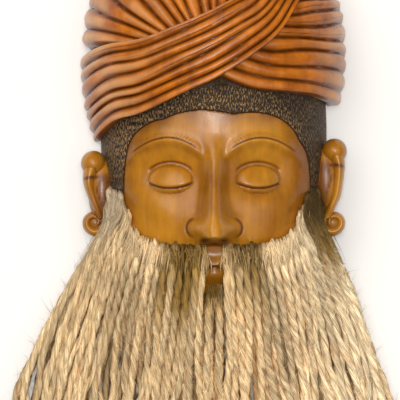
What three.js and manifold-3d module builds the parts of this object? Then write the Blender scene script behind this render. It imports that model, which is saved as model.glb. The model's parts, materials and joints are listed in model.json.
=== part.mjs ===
// Wall mask of a bearded man in a turban: one carved piece of wood, hollow behind, with a beard of twine.
// Millimetres. The mask lies on its back: x runs across the face, y up the head and z out of the face.
import * as THREE from 'three';
import { mergeVertices } from 'three/addons/utils/BufferGeometryUtils.js';
import Module from 'manifold-3d';

const wasm = await Module();
wasm.setup();

// Driving dimensions, with z counted from the back rim.
const HALF_WIDTH = 74; // head at its widest, with the hair
const WIDEST_Y = 45;
const CHIN_Y = -80;
const HEAD_TOP_Y = 112; // inside the turban
const FACE_DEPTH = 82;
const WIDTH_POWER = 2.2; // how full the head's outline is towards chin and crown
const DEPTH_POWER = 5;
const THIRD = 55; // brow to nose base, and nose base to chin
const BROW_Y = 30;
const NOSE_Y = BROW_Y - THIRD;
const EYE_X = 28; // centre of an eye, for five eye widths across the head
const EYE_HALF = 14;
const EYE_Y = 13;
const LEFT_KNOB_Y = 24; // the ears are not level
const RIGHT_KNOB_Y = 32;
const EAR_Z = 31;
const TURBAN = { y: 95, half: 86, up: 83, downLeft: 95, downRight: 75, depth: 94, power: 2.5 };
const CORE = { ...TURBAN, downLeft: 72, downRight: 62 }; // under the turban's folds
const CORE_SINK = 6;
const HOLLOW = { y: 42, half: 57, up: 116, downLeft: 104, downRight: 104, depth: 60, power: 2.4 };
const RIM_ANGLE = Math.PI / 2;
const PAST_RIM = 60; // how steeply a dome goes on down behind its rim
const DOME_ANGLES = [1.75, 1.57, 1.35, 1, 0.5];
const BELOW = 6; // how far the solids run under the back plane before it is cut flat
const GAP = 0.4; // between the twine and the wood
const TWINE = 5.4; // diameter of one strand
const UNDER_DEPTH = 12.2; // thickness of the strands that lie under the top ones
const THIN_DEPTH = 2; // the same at the roots
const LIFT_OFF = TWINE / 2 + 0.9; // middle of a top strand over the wood at its root
const END_LEFT = 131; // reach of the beard's lower end to each side
const END_RIGHT = 120;
const END_Y = -204;
const END_RISE = 22; // how much higher the outermost strands end
const SWAY = 2.4; // sideways wander of the strands
const MIDDLE = { x: -6.626, y: -14.061 }; // middle of the whole piece, moved to the origin

// Small helpers
const clamp01 = (value) => Math.min(1, Math.max(0, value));
function smooth(from, to, value) {
  const t = clamp01((value - from) / (to - from));
  return t * t * (3 - 2 * t);
}
const mix = (a, b, t) => a + (b - a) * t;
const bump = (x, y, width, height) => Math.exp(-((x / width) ** 2) - (y / height) ** 2);
const steps = (count) => Array.from({ length: count + 1 }, (_, i) => i / count);

// A smooth curve through points [x, y], with s from 0 to 1 and equal steps of s between the points.
function through(points, s) {
  const span = Math.min(points.length - 2, Math.floor(s * (points.length - 1)));
  const t = s * (points.length - 1) - span;
  const at = (i) => points[Math.min(points.length - 1, Math.max(0, i))];
  const [a, b, c, d] = [at(span - 1), at(span), at(span + 1), at(span + 2)];
  return [0, 1].map((k) => b[k] + 0.5 * t * (c[k] - a[k]
    + t * (2 * a[k] - 5 * b[k] + 4 * c[k] - d[k] + t * (3 * (b[k] - c[k]) + d[k] - a[k]))));
}

// A closed solid from points and triangles, turned outwards.
function closed(points, triangles) {
  let volume = 0;
  for (const [a, b, c] of triangles) {
    volume += points[a].clone().cross(points[b]).dot(points[c]);
  }
  const turned = volume > 0 ? triangles : triangles.map(([a, b, c]) => [a, c, b]);
  const vertProperties = new Float32Array(points.flatMap((p) => p.toArray()));
  const triVerts = new Uint32Array(turned.flat());
  return new wasm.Manifold(new wasm.Mesh({ numProp: 3, vertProperties, triVerts }));
}

// Rings of equally many points, sewn to each other and closed by a fan at both ends.
function loft(rings) {
  const count = rings[0].length;
  const points = rings.flat();
  const triangles = [];
  for (let r = 0; r + 1 < rings.length; r += 1) {
    for (let i = 0; i < count; i += 1) {
      const [a, b] = [r * count + i, r * count + (i + 1) % count];
      triangles.push([a, b, b + count], [a, b + count, a + count]);
    }
  }
  const ends = [[rings[0], 0, true], [rings.at(-1), (rings.length - 1) * count, false]];
  for (const [ring, start, flip] of ends) {
    const centre = points.length;
    points.push(ring.reduce((sum, p) => sum.add(p), new THREE.Vector3()).divideScalar(count));
    for (let i = 0; i < count; i += 1) {
      const pair = [start + i, start + (i + 1) % count];
      triangles.push(flip ? [pair[1], pair[0], centre] : [pair[0], pair[1], centre]);
    }
  }
  return closed(points, triangles);
}

// Two grids of the same size, an upper and a lower face, sewn round their edge.
function slab(upper, lower) {
  return loft(upper.map((row, i) => [...row, ...[...lower[i]].reverse()]));
}

// Head: an arch over each level y, with a blunt chin and relief on the face.
const towardsEnd = (y) => Math.min(1, Math.abs((y - WIDEST_Y) / (WIDEST_Y - CHIN_Y)));
const headWidth = (y) => HALF_WIDTH * Math.sqrt(1 - towardsEnd(y) ** WIDTH_POWER);
const headDepth = (y) => FACE_DEPTH * Math.cbrt(1 - towardsEnd(y) ** DEPTH_POWER);

function browRelief(x, y) {
  const side = Math.abs(x);
  const arch = BROW_Y + 8 - 9 * ((side - 30) / 22) ** 2;
  const along = smooth(4, 12, side) * (1 - smooth(50, 60, side));
  return 2.6 * along * Math.exp(-(((y - arch) / 4) ** 2));
}

function eyeRelief(x, y) {
  const [dx, dy] = [(Math.abs(x) - EYE_X) / EYE_HALF, (y - EYE_Y) / 9];
  const socket = -7.5 * bump(Math.abs(x) - EYE_X, y - EYE_Y - 4, 21, 13);
  const lid = 8 * Math.sqrt(Math.max(0, 1 - dx * dx - dy * dy));
  return socket + lid;
}

function noseRelief(x, y) {
  const down = clamp01((BROW_Y - y) / THIRD);
  const height = mix(5, 23, down ** 1.3) * (1 - smooth(-2, 4, NOSE_Y - y)) * smooth(-8, 12, BROW_Y + 6 - y);
  const half = mix(5.5, 9, down ** 2);
  const wings = 9 * bump(Math.abs(x) - 10.5, y - NOSE_Y - 7, 5.5, 6);
  return height * Math.exp(-((Math.abs(x) / half) ** 2.4)) + wings;
}

function mouthRelief(x, y) {
  const line = NOSE_Y - THIRD / 3;
  const upper = 3.2 * bump(x, y - line - 4, 17, 3.6);
  const lower = 3.6 * bump(x, y - line + 4.5, 14, 4);
  const chin = 3 * bump(x, y - CHIN_Y - 16, 14, 9);
  return upper + lower + chin - 1.6 * bump(x, y - line, 20, 1.4);
}

function faceRelief(x, y) {
  const cheek = 2.5 * bump(Math.abs(x) - 38, y + 12, 17, 18);
  return browRelief(x, y) + eyeRelief(x, y) + noseRelief(x, y) + mouthRelief(x, y) + cheek;
}

const FACE_LEVELS = steps(17).map((t) => mix(-46, 46, t));
const HEAD_LEVELS = [-79.6, -78, -74, -68, -60, -52, ...FACE_LEVELS, 58, 80, HEAD_TOP_Y];

function headSolid(grow) {
  const across = steps(24).map((t) => 2 * t - 1);
  return loft(HEAD_LEVELS.map((y) => {
    const [width, depth] = [headWidth(y) + grow, headDepth(y) + grow];
    const arch = across.map((p) => {
      const angle = RIM_ANGLE * (1 + Math.sign(p) * Math.abs(p) ** 1.3);
      const x = -width * Math.cos(angle);
      const z = depth * Math.sin(angle) ** 0.7;
      return new THREE.Vector3(x, y, z + smooth(12, 40, z) * faceRelief(x, y));
    });
    return [...arch, new THREE.Vector3(width, y, -BELOW), new THREE.Vector3(-width, y, -BELOW)];
  }));
}

// A dome is drawn in a flat plan, whose rim lies at the rim angle from the middle. lift moves a point
// out along the dome's normal.
function reach(dome, x, y) {
  const r = Math.hypot(x, y - dome.y) || 1;
  const down = mix(dome.downLeft, dome.downRight, (x / r + 1) / 2);
  const tall = y > dome.y ? dome.up : down;
  const sum = Math.abs(x / dome.half) ** dome.power + Math.abs((y - dome.y) / tall) ** dome.power;
  return sum ** (1 / dome.power);
}

function onDome(dome, x, y) {
  const angle = Math.max(1e-6, reach(dome, x, y));
  const shrink = Math.sin(Math.min(angle, RIM_ANGLE)) / angle;
  const past = (RIM_ANGLE - angle) * PAST_RIM;
  const z = angle < RIM_ANGLE ? dome.depth * Math.cos(angle) ** 0.75 : past;
  return new THREE.Vector3(x * shrink, dome.y + (y - dome.y) * shrink, z);
}

function lifted(dome, x, y, lift) {
  const point = onDome(dome, x, y);
  const normal = new THREE.Vector3(point.x / dome.half, (point.y - dome.y) / dome.up, 0);
  normal.z = Math.max(0, point.z) / dome.depth;
  return point.addScaledVector(normal.normalize(), lift);
}

// A front-view point moved to the plan of a dome. A point outside the dome's outline lies past the rim.
function inPlan(dome, [x, y]) {
  const r = reach(dome, x, y);
  const angle = r < 1 ? Math.asin(r) : RIM_ANGLE + (r - 1);
  return [x * angle / r, dome.y + (y - dome.y) * angle / r];
}

function domeSolid(dome, grow) {
  const around = steps(22).slice(0, -1).map((t) => 2 * Math.PI * t);
  const rings = DOME_ANGLES.map((angle) => around.map((turn) => {
    const [x, y] = [Math.cos(turn), Math.sin(turn)];
    const scale = angle / reach(dome, x, dome.y + y);
    return lifted(dome, x * scale, dome.y + y * scale, grow);
  }));
  return loft(rings);
}

// Wound cloth of the turban: a band with rounded folds along it. edges gives a plan point for
// (along, across). A band lies lower at its start, by the share start, and sinks again towards its end.
const FOLD_POWER = 0.65;
const foldHeight = (across, folds) => Math.abs(Math.sin(Math.PI * across * folds)) ** FOLD_POWER;

function wrapSolid({ edges, folds, lift, start = 1, depth, along, thick }) {
  const across = steps(folds * 3);
  const grid = (height) => steps(along).map((s) => across.map((v) => {
    const [x, y] = edges(s, v);
    return lifted(TURBAN, x, y, height(s, v));
  }));
  const edge = (v) => smooth(0, 0.35 / folds, v) * smooth(0, 0.35 / folds, 1 - v);
  const top = (s, v) => {
    const rise = lift * mix(start, 1, smooth(0, 0.3, s)) * mix(1, 0.55, smooth(0.65, 1, s));
    return mix(-4, rise + depth * (foldHeight(v, folds) - 1), edge(v));
  };
  return slab(grid(top), grid(() => -thick));
}

const between = (low, high) => (s, v) => {
  const [a, b] = [through(low, s), through(high, s)];
  return [mix(a[0], b[0], v), mix(a[1], b[1], v)];
};

// Front band: from the lower left rim up over the forehead to the upper right rim.
const BAND_LOW = [[-86, 29], [-75, 39], [-62, 50], [-43, 56], [-19, 67], [3, 77], [23, 90], [40, 105],
  [56, 130], [73, 152], [86, 166]].map((point) => inPlan(TURBAN, point));
const BAND_HIGH = [[-96, 92], [-82, 97], [-66, 101], [-45, 103], [-26, 109], [-7, 117], [9, 125], [21, 132],
  [33, 148], [42, 168], [48, 190]].map((point) => inPlan(TURBAN, point));

// Right side: folds that leave the band and run round the side of the head.
const SIDE_LOW = [[-8, 84], [8, 75], [25, 69], [46, 67], [64, 66], [74, 64], [82, 60]]
  .map((point) => inPlan(TURBAN, point));
const SIDE_HIGH = [[46, 138], [52, 142], [58, 145], [64, 148], [69, 150], [74, 152], [79, 154]]
  .map((point) => inPlan(TURBAN, point));

// The rim bulges between the two corners of the side, so its folds are carried out past it at their end.
function sideEdges(s, v) {
  const [x, y] = between(SIDE_LOW, SIDE_HIGH)(s, v);
  const out = Math.max(1, (RIM_ANGLE + 0.1) / reach(TURBAN, x, y));
  const push = mix(1, out, smooth(0.6, 1, s));
  return [x * push, TURBAN.y + (y - TURBAN.y) * push];
}

// Crown: folds gathered under the band's upper edge, spread like a fan to the rim.
const GATHER_FROM = inPlan(TURBAN, [-40, 97]);
const GATHER_TO = inPlan(TURBAN, [24, 122]);
function crownEdges(s, v) {
  const turn = mix(3.08, 0.78, v);
  const [x, y] = [Math.cos(turn), Math.sin(turn)];
  const scale = (RIM_ANGLE + 0.1) / reach(TURBAN, x, TURBAN.y + y);
  const from = [mix(GATHER_FROM[0], GATHER_TO[0], v), mix(GATHER_FROM[1], GATHER_TO[1], v)];
  return [mix(from[0], x * scale, s), mix(from[1], TURBAN.y + y * scale, s)];
}

const BAND = { folds: 7, lift: 8, start: 0.3, depth: 2.9, along: 12, thick: 16 };
const SIDE = { folds: 10, lift: 2.8, depth: 3.4, along: 6, thick: 14 };
const CROWN = { folds: 15, lift: 2.4, depth: 3.1, along: 5, thick: 12 };

function turbanSolid() {
  const band = wrapSolid({ ...BAND, edges: between(BAND_LOW, BAND_HIGH) });
  const side = wrapSolid({ ...SIDE, edges: sideEdges });
  const crown = wrapSolid({ ...CROWN, edges: crownEdges });
  return domeSolid(CORE, -CORE_SINK).add(side).add(crown).add(band);
}

// Ears
function ovalRing(centre, direction, half, deep, count) {
  const side = new THREE.Vector3(direction.y, -direction.x, 0).normalize();
  return steps(count).slice(0, -1).map((t) => {
    const turn = 2 * Math.PI * t;
    const point = centre.clone().addScaledVector(side, half * Math.cos(turn));
    return point.setZ(centre.z + deep * Math.sin(turn));
  });
}

function oval(centre, radii, grow, count = 10) {
  const rings = steps(Math.round(count * 0.7)).slice(1, -1).map((t) => {
    const turn = Math.PI * t;
    const middle = centre.clone().setY(centre.y - (radii.y + grow) * Math.cos(turn));
    const share = Math.sin(turn);
    const [half, deep] = [(radii.x + grow) * share, (radii.z + grow) * share];
    return ovalRing(middle, new THREE.Vector3(0, 1, 0), half, deep, count);
  });
  return loft(rings);
}

// The lobe: a roll of nearly one and a quarter turns round its centre, over a thinner disc.
const ROLL_FROM = 1.2;
const ROLL_TO = -6.8;
const LOBE_DISC = new THREE.Vector3(7, 7, 8);

function lobeSolid(side, centre, grow) {
  const roll = loft(steps(12).map((t) => {
    const turn = mix(ROLL_FROM, ROLL_TO, t);
    const radius = mix(5.8, 1.7, smooth(0.55, 1, t));
    const [x, y] = [centre.x - radius * Math.cos(turn), centre.y + radius * Math.sin(turn)];
    const middle = new THREE.Vector3(side * x, y, centre.z);
    const along = new THREE.Vector3(side * Math.sin(turn), Math.cos(turn), 0);
    return ovalRing(middle, along, mix(3.5, 2.6, t) + grow, mix(8, 9, t) + grow, 6);
  }));
  const disc = oval(new THREE.Vector3(side * centre.x, centre.y, centre.z - 1), LOBE_DISC, grow, 8);
  return roll.add(disc);
}

// An ear: a round knob above, a rim that narrows downwards, the ear's shell inside it and the lobe.
const KNOB = new THREE.Vector3(8.3, 8.3, 12);
const SHELL = new THREE.Vector3(9, 22, 9.5);
const LOBE = new THREE.Vector3(77.7, -15, 27);

function earSolid(side, knobY, grow) {
  const knob = oval(new THREE.Vector3(side * 79, knobY, EAR_Z), KNOB, grow);
  // x, y, half width and half depth of the rim
  const rimLine = [[80, knobY - 3, 5.6, 12], [81.8, knobY - 12, 4, 12], [80, 4, 3.6, 11],
    [76.5, -5, 3.4, 10], [74, -12, 3, 8]];
  const rim = loft(rimLine.map(([x, y, half, deep]) => {
    const middle = new THREE.Vector3(side * x, y, EAR_Z);
    return ovalRing(middle, new THREE.Vector3(0, 1, 0), half + grow, deep + grow, 10);
  }));
  const shell = oval(new THREE.Vector3(side * 73.5, knobY - 18, EAR_Z), SHELL, grow);
  return knob.add(rim).add(shell).add(lobeSolid(side, LOBE, grow));
}

function woodOuter(grow) {
  return headSolid(grow).add(earSolid(-1, LEFT_KNOB_Y, grow)).add(earSolid(1, RIGHT_KNOB_Y, grow));
}

function boxSolid(low, high) {
  const geometry = new THREE.BoxGeometry(high[0] - low[0], high[1] - low[1], high[2] - low[2]);
  geometry.translate((low[0] + high[0]) / 2, (low[1] + high[1]) / 2, (low[2] + high[2]) / 2);
  geometry.deleteAttribute('normal');
  geometry.deleteAttribute('uv');
  const merged = mergeVertices(geometry);
  const vertProperties = merged.attributes.position.array;
  const triVerts = new Uint32Array(merged.index.array);
  return new wasm.Manifold(new wasm.Mesh({ numProp: 3, vertProperties, triVerts }));
}

const underFloor = () => boxSolid([-300, -400, -80], [300, 400, 0]);

// The largest shell is the whole block, without the pockets that its parts close in between them.
function maskSolid() {
  const block = woodOuter(0).add(turbanSolid()).subtract(domeSolid(HOLLOW, 0));
  const shells = block.subtract(underFloor()).decompose();
  return shells.sort((a, b) => b.volume() - a.volume())[0];
}

// Beard. place runs from -1 at the left temple to 1 at the right one, t from the root to the free end.
function woodHeight(x, y) {
  const share = x / Math.max(1, headWidth(y));
  return headDepth(y) * Math.max(0, 1 - share * share) ** 0.35;
}

// Height of the surface that the beard lies on: the face, then a free fall past the jaw to the floor.
function restHeight(x, y) {
  const spread = (Math.abs(x / HALF_WIDTH) ** 2.2 + Math.abs((WIDEST_Y - y) / 160) ** 2.2) ** (1 / 2.2);
  const fall = 84 * smooth(1.35, 0.5, spread);
  const wood = woodHeight(x, y);
  return Math.max(wood > 0 ? wood + 1 : 0, fall);
}

// The line that the twine is rooted in, from under the nose along the cheek and up to the temple.
const ROOT_LINE = [[0, -31], [14, -31.5], [28, -31], [41, -28], [52, -21], [56.5, -8], [62.4, 3],
  [68.8, 4]];

function strandPlan(place, t, drop) {
  const [rootSide, rootY] = through(ROOT_LINE, Math.min(1, Math.abs(place)));
  const rootX = Math.sign(place) * rootSide;
  const endX = (place < 0 ? END_LEFT : END_RIGHT) * Math.sin(1.2 * place) / Math.sin(1.2);
  const endY = END_Y + END_RISE * place * place + drop;
  const late = 0.125 * place ** 4;
  const flare = 1 - (1 - clamp01((t - late) / (1 - late))) ** (1.2 + 0.7 * Math.abs(place));
  const slow = Math.sin(2 * Math.PI * (2.6 * place + 0.5 * t));
  const quick = Math.sin(2 * Math.PI * (7.3 * place + 1.3 * t));
  const wander = SWAY * smooth(0.1, 0.7, t) * (slow + 0.5 * quick);
  return [mix(rootX, endX, flare) + wander, mix(rootY, endY, t)];
}

function strandPoint(place, t, drop, height) {
  const [x, y] = strandPlan(place, t, drop);
  return new THREE.Vector3(x, y, restHeight(x, y) + height);
}

// How a strand climbs from its root. The outer ones climb more slowly, so that none bends sharply.
const slower = (place) => 0.14 * place ** 4;
const climb = (place, t) => smooth(-0.01, 0.12 + slower(place), t);
const underThickness = (place, t) => mix(THIN_DEPTH, UNDER_DEPTH, smooth(0.03 + 0.5 * slower(place), 0.2 + slower(place), t));

function underStrandsSolid() {
  const places = steps(16).map((s) => 2.04 * s - 1.02);
  const grid = (height) => steps(12).map((s) => places.map((place) => {
    const t = mix(0.045 + 0.5 * slower(place), 1, s);
    return strandPoint(place, t, -3, height(place, t));
  }));
  return slab(grid(underThickness), grid(() => 0)).subtract(woodOuter(GAP));
}

// Top strands: where each one leaves the root line, and how much shorter it is than the longest.
const TOP_STRANDS = [[-0.97, 9], [-0.82, 3], [-0.68, 7], [-0.54, 1], [-0.39, 5], [-0.25, 0], [-0.11, 4],
  [0.1, 1], [0.24, 6], [0.38, 2], [0.53, 0], [0.67, 6], [0.81, 2], [0.96, 8]];

function topStrand([place, drop]) {
  const route = steps(20).map((t) => {
    const height = LIFT_OFF + (UNDER_DEPTH + THIN_DEPTH) * climb(place, t);
    return strandPoint(place, t, drop, height);
  });
  const section = new THREE.Shape(steps(8).slice(0, -1).map((s) => {
    const turn = 2 * Math.PI * s;
    return new THREE.Vector2(TWINE / 2 * Math.cos(turn), TWINE / 2 * Math.sin(turn));
  }));
  const path = new THREE.CatmullRomCurve3(route);
  return new THREE.ExtrudeGeometry(section, { steps: 14, bevelEnabled: false, extrudePath: path });
}

// Meshes
function geometryOf(solid) {
  const mesh = solid.getMesh();
  const geometry = new THREE.BufferGeometry();
  const points = new Float32Array(mesh.vertProperties);
  geometry.setAttribute('position', new THREE.BufferAttribute(points, mesh.numProp));
  geometry.setIndex(new THREE.BufferAttribute(new Uint32Array(mesh.triVerts), 1));
  return geometry;
}

function piece(name, geometry, color, roughness) {
  const material = new THREE.MeshStandardMaterial({ color, roughness, metalness: 0 });
  const mesh = new THREE.Mesh(geometry, material);
  mesh.name = name;
  return mesh;
}

const WOOD_COLOUR = 0xa8641c;
const UNDER_COLOUR = 0xa98f66;
const TWINE_COLOUR = 0xc9b088;

const mask = new THREE.Group();
mask.position.set(-MIDDLE.x, -MIDDLE.y, 0);
mask.add(piece('carved_mask', geometryOf(maskSolid()), WOOD_COLOUR, 0.32));
mask.add(piece('beard_under_strands', geometryOf(underStrandsSolid()), UNDER_COLOUR, 0.95));
TOP_STRANDS.forEach((strand, i) => {
  const name = `beard_strand_${String(i + 1).padStart(2, '0')}`;
  mask.add(piece(name, topStrand(strand), TWINE_COLOUR, 0.95));
});

const whole = new THREE.Group();
whole.add(mask);
export default whole;
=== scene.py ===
"""Carved wall mask of a bearded man in a turban, with a beard of jute twine, lying on its back.

The wood and the twine are surfaces worked out with numpy, in millimetres on the head's own axes: x runs
across the face, y up the head and z out of it. When a surface becomes a mesh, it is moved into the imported
frame, in metres.
"""

import itertools
import json
import math

import bpy
import numpy as np
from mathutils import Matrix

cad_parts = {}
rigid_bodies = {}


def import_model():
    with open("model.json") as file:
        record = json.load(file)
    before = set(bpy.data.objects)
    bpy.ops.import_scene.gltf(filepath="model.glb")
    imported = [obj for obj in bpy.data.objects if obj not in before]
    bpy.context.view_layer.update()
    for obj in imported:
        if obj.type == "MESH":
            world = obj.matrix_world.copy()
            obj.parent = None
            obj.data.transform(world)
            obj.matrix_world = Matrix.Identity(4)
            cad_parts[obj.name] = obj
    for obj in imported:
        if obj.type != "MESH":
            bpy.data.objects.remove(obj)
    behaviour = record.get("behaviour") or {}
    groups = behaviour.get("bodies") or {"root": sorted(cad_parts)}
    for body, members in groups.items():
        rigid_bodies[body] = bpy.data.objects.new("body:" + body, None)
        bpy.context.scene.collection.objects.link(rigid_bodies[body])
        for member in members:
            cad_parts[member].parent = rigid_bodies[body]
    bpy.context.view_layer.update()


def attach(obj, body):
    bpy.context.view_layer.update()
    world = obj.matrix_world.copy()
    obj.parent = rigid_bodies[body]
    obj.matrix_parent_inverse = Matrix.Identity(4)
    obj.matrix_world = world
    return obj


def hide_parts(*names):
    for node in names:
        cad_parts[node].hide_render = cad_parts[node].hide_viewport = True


bl_info = {
    "name": "Turbaned Mask",
    "version": (1, 0, 0),
    "blender": (4, 5, 0),
    "location": "View3D > Sidebar > Turbaned Mask",
    "description": "Carves a turbaned wall mask and lays its twine beard around the packed frame",
    "category": "Object",
}

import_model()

MM = 0.001
MIDDLE = (-6.626, -14.061, 0)  # the frame's origin on the head's own axes

# Head
HALF_WIDTH = 74.0
WIDEST_Y = 45.0
CHIN_Y = -80.0
HEAD_TOP_Y = 112.0
FACE_DEPTH = 82.0
THIRD = 55.0
BROW_Y = 30.0
NOSE_Y = BROW_Y - THIRD
EYE_X = 28.0
EYE_HALF = 14.0
EYE_Y = 13.0
HAIR_END_Y = -6.0

# Turban and hollow, each a dome: middle level, half width, reach upwards and downwards, depth and roundness
TURBAN = {"y": 95.0, "half": 86.0, "up": 83.0, "left": 95.0, "right": 75.0, "depth": 94.0, "power": 2.5}
CORE = {**TURBAN, "left": 72.0, "right": 62.0}
HOLLOW = {"y": 42.0, "half": 57.0, "up": 116.0, "left": 104.0, "right": 104.0, "depth": 60.0, "power": 2.4}
RIM = math.pi / 2
BELOW = 6.0

# Beard
TWINE = 5.4
UNDER_DEPTH = 12.2
ROUTE_POINTS = 240
FAN = 1.2
END_LEFT = 131.0
END_RIGHT = 120.0
END_Y = -204.0
SWAY = 2.4
FALL_REACH = 160
FALL_HEIGHT = 84
# From the middle outwards, the line that the strands grow from: distance to the side and level
ROOT_LINE = [[0, -31], [14, -31.5], [28, -31], [41, -28], [52, -21], [56.5, -8], [62.4, 3], [68.8, 4]]
# Top strands from left to right: place between the temples, from -1 to 1, and how much shorter each one ends
TOP_STRANDS = [[-0.97, 9], [-0.82, 3], [-0.68, 7], [-0.54, 1], [-0.39, 5], [-0.25, 0], [-0.11, 4],
               [0.1, 1], [0.24, 6], [0.38, 2], [0.53, 0], [0.67, 6], [0.81, 2], [0.96, 8]]


# ---------------------------------------------------------------- small helpers

def smooth(low, high, value):
    """0 below low, 1 above high, and the cubic 3t^2 - 2t^3 between them."""
    t = np.clip((np.asarray(value, float) - low) / (high - low), 0, 1)
    return t * t * (3 - 2 * t)


def within(low, full, still_full, end, value):
    """1 from full to still_full, falling smoothly to 0 at low and at end."""
    return smooth(low, full, value) * (1 - smooth(still_full, end, value))


def mix(a, b, t):
    """a at t = 0, b at t = 1."""
    return a + (b - a) * t


def bump(x, y, width, height):
    """A rounded hill, exp(-(x / width)^2 - (y / height)^2)."""
    return np.exp(-((x / width) ** 2) - (y / height) ** 2)


def through(points, s):
    """A smooth curve through the points, s from 0 to 1 in equal steps between them (a Catmull-Rom spline)."""
    points = np.asarray(points, float)
    s = np.asarray(s, float)
    last = len(points) - 1
    span = np.minimum(last - 1, np.floor(s * last)).astype(int)
    t = (s * last - span)[..., None]
    a, b, c, d = (points[np.clip(span + k, 0, last)] for k in (-1, 0, 1, 2))
    return b + 0.5 * t * (c - a + t * (2 * a - 5 * b + 4 * c - d + t * (3 * (b - c) + d - a)))


def speckle(x, y, z, seed=0.0):
    """Smooth noise from 0 to 1: random values at whole-number points, blended between the nearest eight."""
    x, y, z = np.broadcast_arrays(x, y, z)
    cells = [np.floor(v) for v in (x, y, z)]
    ease = [(v - c) ** 2 * (3 - 2 * (v - c)) for v, c in zip((x, y, z), cells)]

    def corner(i, j, k):
        mixed = (cells[0] + i) * 127.1 + (cells[1] + j) * 311.7 + (cells[2] + k) * 74.7 + seed * 53.1
        raw = np.sin(mixed) * 43758.5453
        return raw - np.floor(raw)

    total = 0
    for at in itertools.product((0, 1), repeat=3):
        total = total + math.prod(e if on else 1 - e for on, e in zip(at, ease)) * corner(*at)
    return total


def blurred(grid, passes):
    """Each cell is averaged with its four neighbours, over and over."""
    for _ in range(passes):
        wide = np.pad(grid, 1, mode="edge")
        grid = (4 * grid + wide[:-2, 1:-1] + wide[2:, 1:-1] + wide[1:-1, :-2] + wide[1:-1, 2:]) / 8
    return grid


def unit(vectors):
    """The same directions, each of length 1."""
    return vectors / np.linalg.norm(vectors, axis=-1, keepdims=True)


def full_turn(count):
    """Evenly spread angles, once round."""
    return np.linspace(0, 2 * math.pi, count + 1)[:-1]


def ringed(middles, side, up, angle, radius):
    """A ring round each middle: radius * (side cos(angle) + up sin(angle))."""
    across = np.cos(angle)[..., None] * side[..., None, :] + np.sin(angle)[..., None] * up[..., None, :]
    return middles[..., None, :] + radius[..., None] * across


def in_frame(points):
    """Points on the head's own axes, in millimetres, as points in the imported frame, in metres."""
    return (np.asarray(points, float).reshape(-1, 3) - MIDDLE) * MM


# How a mesh holds one, three or four numbers at each point
FIELDS = {1: ("FLOAT", "value"), 3: ("FLOAT_VECTOR", "vector"), 4: ("FLOAT_COLOR", "color")}


def mesh_object(name, points, faces, attributes=None):
    """A mesh from frame points and a list of face arrays, one row of vertex numbers for each face."""
    mesh = bpy.data.meshes.new(name)
    loops = np.concatenate([np.asarray(f).ravel() for f in faces])
    sizes = np.concatenate([np.full(len(f), np.shape(f)[1]) for f in faces])
    mesh.vertices.add(len(points))
    mesh.vertices.foreach_set("co", np.asarray(points, np.float32).ravel())
    mesh.loops.add(len(loops))
    mesh.loops.foreach_set("vertex_index", loops.astype(np.int32))
    mesh.polygons.add(len(sizes))
    mesh.polygons.foreach_set("loop_start", (np.cumsum(sizes) - sizes).astype(np.int32))
    mesh.polygons.foreach_set("use_smooth", np.ones(len(sizes), bool))
    mesh.update(calc_edges=True)
    for key, values in (attributes or {}).items():
        kind, field = FIELDS[np.size(values) // len(points)]
        slot = mesh.attributes.new(key, kind, "POINT")
        slot.data.foreach_set(field, np.asarray(values, np.float32).ravel())
    obj = bpy.data.objects.new(name, mesh)
    bpy.context.scene.collection.objects.link(obj)
    return obj


def loft_faces(rings, count, start=0):
    """Quads between rings of equally many points, and one face over each open end."""
    i, j = np.meshgrid(np.arange(rings - 1), np.arange(count), indexing="ij")
    a, b = i * count + j, i * count + (j + 1) % count
    sides = np.stack([a, b, b + count, a + count], -1).reshape(-1, 4) + start
    ends = np.array([np.arange(count)[::-1], np.arange(count) + (rings - 1) * count]) + start
    return [sides, ends]


def outward(points, faces):
    """The same faces, turned round if the volume that they close comes out negative."""
    volume = 0.0
    for f in faces:
        corners = points[f]
        for k in range(1, f.shape[1] - 1):
            volume += np.einsum("ij,ij->", corners[:, 0], np.cross(corners[:, k], corners[:, k + 1]))
    return faces if volume > 0 else [f[:, ::-1] for f in faces]


def combine(base, others, operation):
    """Joins the others to base, or cuts them out of it, one after another. The others are removed."""
    for other in others:
        modifier = base.modifiers.new("carve", "BOOLEAN")
        modifier.operation = operation
        modifier.solver = "MANIFOLD"
        modifier.object = other
        shape = bpy.data.meshes.new_from_object(base.evaluated_get(bpy.context.evaluated_depsgraph_get()))
        base.modifiers.remove(modifier)
        base.data = shape
        bpy.data.objects.remove(other)


# ---------------------------------------------------------------- materials

def shader(name, roughness=0.5):
    """A new material, its node tree and its surface node."""
    material = bpy.data.materials.new(name)
    material.use_nodes = True
    surface = material.node_tree.nodes["Principled BSDF"]
    surface.inputs["Roughness"].default_value = roughness
    return material, material.node_tree, surface


def put(tree, kind, settings=None, **sockets):
    """A new node. Each socket is a number, a colour, or another node's output to link from."""
    node = tree.nodes.new(kind)
    for key, value in (settings or {}).items():
        setattr(node, key, value)
    for key, value in sockets.items():
        numbered = key[0] == "_"
        socket = node.inputs[int(key[1:]) if numbered else key.replace("_", " ")]
        if isinstance(value, bpy.types.NodeSocket):
            tree.links.new(value, socket)
        else:
            socket.default_value = value
    return node


def maths(tree, operation, first, second=0.0):
    """A sum, product or other operation on two values."""
    return put(tree, "ShaderNodeMath", {"operation": operation}, _0=first, _1=second).outputs[0]


def blend_colour(tree, factor, first, second, kind="MIX"):
    """A mix of two colours, each a socket or a red, green and blue."""
    first, second = (c if isinstance(c, bpy.types.NodeSocket) else (*c, 1) for c in (first, second))
    settings = {"data_type": "RGBA", "blend_type": kind}
    return put(tree, "ShaderNodeMix", settings, _0=factor, _6=first, _7=second).outputs[2]


def shaded(tree, colour, value):
    """The colour, made darker or lighter by a value about 1."""
    grey = put(tree, "ShaderNodeCombineColor", None, Red=value, Green=value, Blue=value)
    return blend_colour(tree, 1.0, colour, grey.outputs[0], "MULTIPLY")


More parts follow.
